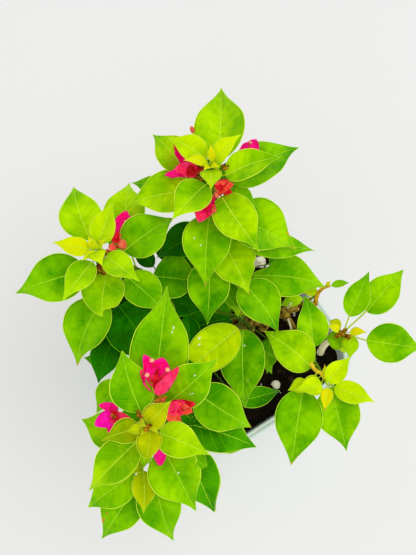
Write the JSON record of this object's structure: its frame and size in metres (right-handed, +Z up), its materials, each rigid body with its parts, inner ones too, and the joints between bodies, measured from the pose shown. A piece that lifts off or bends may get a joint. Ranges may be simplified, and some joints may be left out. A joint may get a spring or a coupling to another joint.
{
  "type": "potted bougainvillea bush",
  "caption": "Young bougainvillea bush with spiral rosettes of bright green leaves and magenta bracts, in a rounded square pot.",
  "frame": {"origin": "centre of the pot's flat underside", "axes": "+Z up, the pot's sides along X and Y; the picture looks down from azimuth -32 degrees"},
  "size_m": [0.313, 0.2868, 0.3536],
  "materials": {
    "pot_glaze": "glossy pale mint, a little worn on the lip",
    "potting_soil": "rough, nearly black, damp",
    "bark": "matte grey-brown bark with scars",
    "leaf": "satin, bright yellow-green",
    "young_leaf": "satin, lime yellow",
    "vein": "matte, pale yellow-green midribs and margins",
    "bract": "papery, magenta to red",
    "flower_tube": "matte, salmon with a cream mouth"
  },
  "bodies": {
    "root": {"pot": "pot_glaze", "soil": "potting_soil", "trunk": "bark", "bough_back": "bark", "bough_left": "bark", "bough_front": "bark", "bough_right": "bark", "bough_right_front": "bark", "stem_corner": "bark", "foliage_front": "leaf", "foliage_back": "leaf", "foliage_left": "leaf", "foliage_right": "leaf", "foliage_corner": "leaf", "foliage_middle": "leaf", "foliage_edge": "leaf"}
  },
  "joints": []
}
